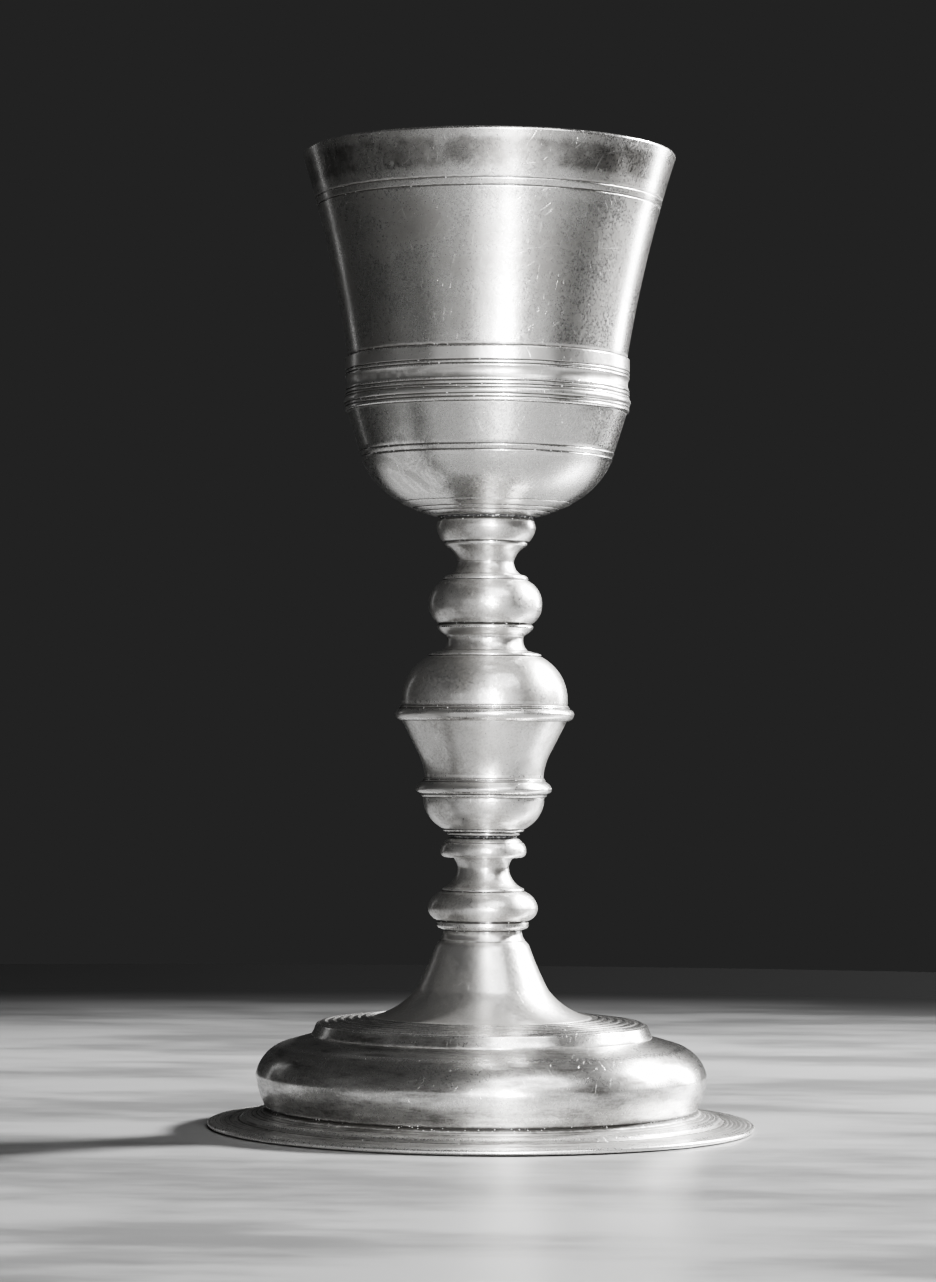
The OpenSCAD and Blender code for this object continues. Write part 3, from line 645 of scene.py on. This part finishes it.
def thread_relief(angle, r, z):
    """A screw thread with a pitch of 1 mm, cut at both ends of the rod."""
    pitch, deep, long, side_r = 1 * MM, 0.55 * MM, 9.5 * MM, 2.9 * MM
    low, high = (corner.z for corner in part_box("tie_rod"))
    phase = ((z / pitch - angle / (2 * math.pi)) % 1) * 2 - 1
    near = np.minimum(z - low, high - z)
    depth = np.clip((long - near) / pitch, 0, 1) * deep * (1 - np.abs(phase)) * (r > side_r)
    return depth, np.zeros_like(depth)


RELIEFS = {"cup_bowl": cup_relief, "foot_brim": brim_relief, "foot_drum": drum_relief,
           "cup_packing": lumpy_relief, "stem_packing": lumpy_relief, "tie_rod": thread_relief}


def dress(piece, node):
    """Gives a piece its material, chosen by node or else by slot, hangs it on the root body, and hides the
    CAD node it replaces.
    """
    piece.data.materials.append(MATERIALS.get(node) or MATERIALS[SLOTS[node]])
    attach(piece, "root")
    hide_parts(node)


def turn_everything():
    """Turns every piece but the nut, which isn't round."""
    outlines = {}
    for node, cad in frame["nodes"].items():
        if node == "foot_nut":
            continue
        points, closed = half_section(cad.data)
        outlines[node] = (fine_outline(points, closed, STEPS.get(node, STEM_STEP)), closed)
    silhouette = Silhouette([outline for outline, closed in outlines.values()])
    for node, (outline, closed) in outlines.items():
        piece = turned_piece(node + "_turned", outline, closed, FACETS.get(node, STEM_FACETS), silhouette,
                             RELIEFS.get(node))
        dress(piece, node)


def hexagon_nut():
    """The nut with its corners chamfered at both faces."""
    low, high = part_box("foot_nut")
    corner_r = (high.x - low.x) / 2
    flat_r = corner_r * math.cos(math.pi / 6)
    bore_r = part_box("tie_rod")[1].x
    rows, face_share, chamfer = 96, 0.96, math.radians(30)
    angles = np.arange(rows) * 2 * math.pi / rows
    hexagon = flat_r / np.cos(np.abs((angles % (math.pi / 3)) - math.pi / 6))
    face_r = flat_r * face_share
    middle_r = face_r + (corner_r - face_r) / 2
    drop = (corner_r - face_r) * math.tan(chamfer)
    levels = [low.z, low.z, low.z + drop / 2, low.z + drop, high.z - drop, high.z - drop / 2, high.z, high.z]
    widths = [bore_r, face_r, middle_r, corner_r, corner_r, middle_r, face_r, bore_r]
    verts, faces = [], []
    for angle, side_r in zip(angles, hexagon):
        for width, level in zip(widths, levels):
            r = min(width, side_r)
            verts.append((r * math.cos(angle), r * math.sin(angle), level))
    wide = len(levels)
    for i in range(rows):
        j = (i + 1) % rows
        for k in range(wide):
            n = (k + 1) % wide
            faces.append((i * wide + k, j * wide + k, j * wide + n, i * wide + n))
    mesh = bpy.data.meshes.new("foot_nut_chamfered")
    mesh.from_pydata(verts, [], faces)
    mesh.update()
    piece = bpy.data.objects.new("foot_nut_chamfered", mesh)
    bpy.context.scene.collection.objects.link(piece)
    dress(piece, "foot_nut")


# The camera, the lights and the floor

def from_middle(azimuth, elevation, distance):
    """A point seen from the chalice's middle; azimuth 0 is towards the camera, 90 to the right."""
    a, e = math.radians(azimuth), math.radians(elevation)
    way = Vector((math.sin(a) * math.cos(e), -math.cos(a) * math.cos(e), math.sin(e)))
    return Vector((0, 0, LIP_TOP / 2)) + way * distance


def look_at(thing, point):
    thing.rotation_euler = (point - thing.location).to_track_quat("-Z", "Y").to_euler()


def make_camera():
    data = bpy.data.cameras.new("camera")
    data.lens = CAMERA_LENS
    data.sensor_width = SENSOR
    camera = bpy.data.objects.new("camera", data)
    camera.location = (0, -CAMERA_AWAY, CAMERA_UP)
    look_at(camera, CAMERA_AIM)
    camera.rotation_euler.rotate_axis("Z", CAMERA_ROLL)
    bpy.context.scene.collection.objects.link(camera)
    bpy.context.scene.camera = camera


def soft_light(name, azimuth, elevation, distance, wide, tall, power, shape="ELLIPSE"):
    """An area light aimed at the chalice's middle. Degrees, metres and watts."""
    data = bpy.data.lights.new(name, "AREA")
    data.shape = shape
    data.size, data.size_y, data.energy = wide, tall, power
    light = bpy.data.objects.new(name, data)
    light.location = from_middle(azimuth, elevation, distance)
    look_at(light, Vector((0, 0, LIP_TOP / 2)))
    light.visible_camera = False
    bpy.context.scene.collection.objects.link(light)


def make_lights():
    soft_light("key", 118, 32, 1.6, 0.2, 0.2, 118)
    soft_light("key_wall", 131, 14, 1.5, 0.5, 0.9, 13)
    soft_light("front_strip", 13, 5, 1.6, 0.04, 1.1, 16, "RECTANGLE")
    soft_light("front_glow", 6, 6, 1.65, 0.8, 1.3, 12)
    soft_light("foot_glint", 14, -2.3, 1.6, 0.16, 0.12, 13)
    soft_light("front_wash", -14, 3, 1.7, 2.1, 0.8, 2.3)
    soft_light("left_wash", -50, 3, 1.7, 2.2, 0.8, 0.45)
    soft_light("right_wash", 34, 3, 1.7, 1.3, 0.8, 2.2)
    soft_light("upper_wash", 32, 44, 1.6, 1.1, 1.0, 11)
    soft_light("left_strip", -136, 8, 1.6, 0.12, 0.9, 0.15)
    soft_light("left_fill", -78, 18, 1.6, 1.0, 1.0, 0.12)
    world = bpy.data.worlds.new("dark_room")
    world.use_nodes = True
    world.node_tree.nodes["Background"].inputs["Color"].default_value = grey(0.04)
    bpy.context.scene.world = world


def make_floor():
    """A round table top painted pale in front as a pool of light, its far edge sinking into painted shade as
    dark as the room.
    """
    painted_light_r, painted_shade_r, edge_r, sides = 0.4, 0.73, 0.9, 96
    middle = Vector((0, -0.2, -0.05 * MM))      # nearer to the camera than the chalice
    turns = np.arange(sides) * 2 * math.pi / sides
    verts = [middle + Vector((math.cos(a), math.sin(a), 0)) * edge_r for a in turns]
    mesh = bpy.data.meshes.new("floor")
    mesh.from_pydata(verts, [], [tuple(range(sides))])
    floor = bpy.data.objects.new("floor", mesh)
    bpy.context.scene.collection.objects.link(floor)
    m = Metal("table_painted_light_pool")
    m.turned_map(9.0)
    drawn_out = m.node("ShaderNodeMapping", {"Vector": m.place, "Scale": (9.0, 22.0, 1.0)}).outputs[0]
    blotch = m.noise(drawn_out, 1.0, 6.0, 0.6)
    top = m.blend(m.fade(blotch, 0.35, 0.62), grey(0.14), grey(0.26))
    away = m.node("ShaderNodeVectorMath", {0: m.spot, 1: middle}, operation="DISTANCE").outputs["Value"]
    # Painted light and shade: the top is pale near the middle and fades to near black farther out, where its
    # shine fades away too
    m.put(m.shader.inputs["Base Color"], m.blend(m.fade(away, painted_light_r, painted_shade_r), top, grey(0.0138)))
    m.put(m.shader.inputs["Specular IOR Level"], m.fade(away, painted_light_r, painted_shade_r, 0.5, 0.0))
    m.shader.inputs["Roughness"].default_value = 0.36
    mesh.materials.append(m.material)


make_camera()
turn_everything()
hexagon_nut()
make_floor()
make_lights()
bpy.context.scene.view_settings.view_transform = "AgX"
bpy.context.scene.view_settings.look = "AgX - High Contrast"
